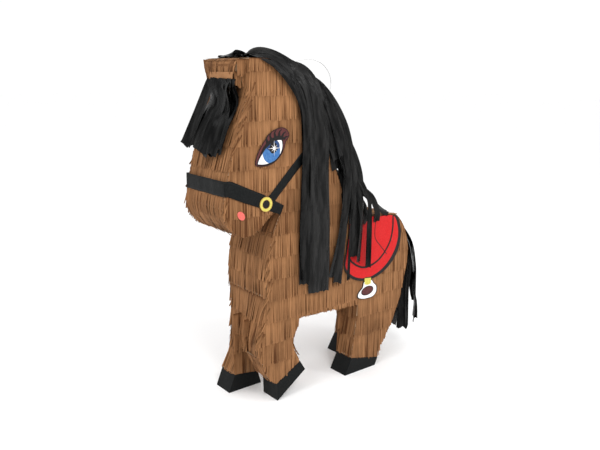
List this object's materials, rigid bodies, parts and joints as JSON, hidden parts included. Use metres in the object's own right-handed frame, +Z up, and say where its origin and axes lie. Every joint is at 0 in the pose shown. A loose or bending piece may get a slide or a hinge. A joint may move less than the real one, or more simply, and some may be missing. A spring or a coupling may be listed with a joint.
{
  "type": "horse pinata",
  "caption": "Hollow card horse covered in rows of fringed tissue, with streamer mane, tail and forelock, printed tack, a fill flap in the back and a cord loop to hang it by.",
  "frame": {"origin": "middle of the footprint box, on the ground the hooves stand on", "axes": "+Z up, the horse looks along -Y, its left side faces +X"},
  "size_m": [0.1164, 0.4152, 0.5082],
  "materials": {
    "brown_card": "plain brown corrugated card, unprinted",
    "brown_tissue": "matt brown tissue paper cut into short vertical fringe",
    "brown_band": "smooth brown tissue folded into a band",
    "black_card": "card covered in smooth black paper",
    "black_crepe": "black crepe streamers with a soft sheen",
    "black_ribbon": "smooth black paper strip",
    "eye_print": "printed paper eye with a blue iris",
    "saddle_print": "red printed paper with black piping",
    "stirrup_print": "white printed paper with a yellow tab",
    "nostril_print": "pink printed paper",
    "ring_print": "yellow printed paper",
    "loop_cord": "thin white cord"
  },
  "bodies": {
    "horse": {"back_strip": "brown_card", "back_tissue": "brown_tissue", "belly_strip": "brown_card", "belly_tissue": "brown_tissue", "bridle_rings": "ring_print", "chest_apron": "brown_card", "chest_apron_tissue": "brown_tissue", "chest_strip": "brown_card", "chest_tissue": "brown_tissue", "crest_strip": "brown_card", "crest_tissue": "brown_tissue", "ears_block": "brown_card", "ears_tissue": "brown_tissue", "forehead_strip": "brown_card", "forehead_tissue": "brown_tissue", "forelock": "black_crepe", "forelock_band": "brown_band", "hanger_patch": "brown_card", "hanging_loop": "loop_cord", "left_cheek_strap": "black_ribbon", "left_eye": "eye_print", "left_front_edge_strips": "brown_card", "left_front_hoof": "black_card", "left_front_inner_panel": "brown_card", "left_front_tissue": "brown_tissue", "left_hind_edge_strips": "brown_card", "left_hind_hoof": "black_card", "left_hind_inner_panel": "brown_card", "left_hind_tissue": "brown_tissue", "left_saddle": "saddle_print", "left_side_panel": "brown_card", "left_side_tissue": "brown_tissue", "left_stirrup": "stirrup_print", "loop_knots": "loop_cord", "mane_left_fall": "black_crepe", "mane_ridge": "black_crepe", "mane_right_fall": "black_crepe", "muzzle_strip": "brown_card", "muzzle_tissue": "brown_tissue", "noseband": "black_ribbon", "nostrils": "nostril_print", "right_cheek_strap": "black_ribbon", "right_eye": "eye_print", "right_front_edge_strips": "brown_card", "right_front_hoof": "black_card", "right_front_inner_panel": "brown_card", "right_front_tissue": "brown_tissue", "right_hind_edge_strips": "brown_card", "right_hind_hoof": "black_card", "right_hind_inner_panel": "brown_card", "right_hind_tissue": "brown_tissue", "right_saddle": "saddle_print", "right_side_panel": "brown_card", "right_side_tissue": "brown_tissue", "right_stirrup": "stirrup_print", "rump_strip": "brown_card", "rump_tissue": "brown_tissue", "tail": "black_crepe"},
    "flap": {"fill_flap": "brown_card", "fill_flap_tissue": "brown_tissue"}
  },
  "joints": [
    {"name": "flap_hinge", "type": "hinge", "parent": "horse", "child": "flap", "pos_m": [0, 0.10315, 0.2563], "axis": [-1, 0, 0], "range_deg": [0, 110]}
  ]
}
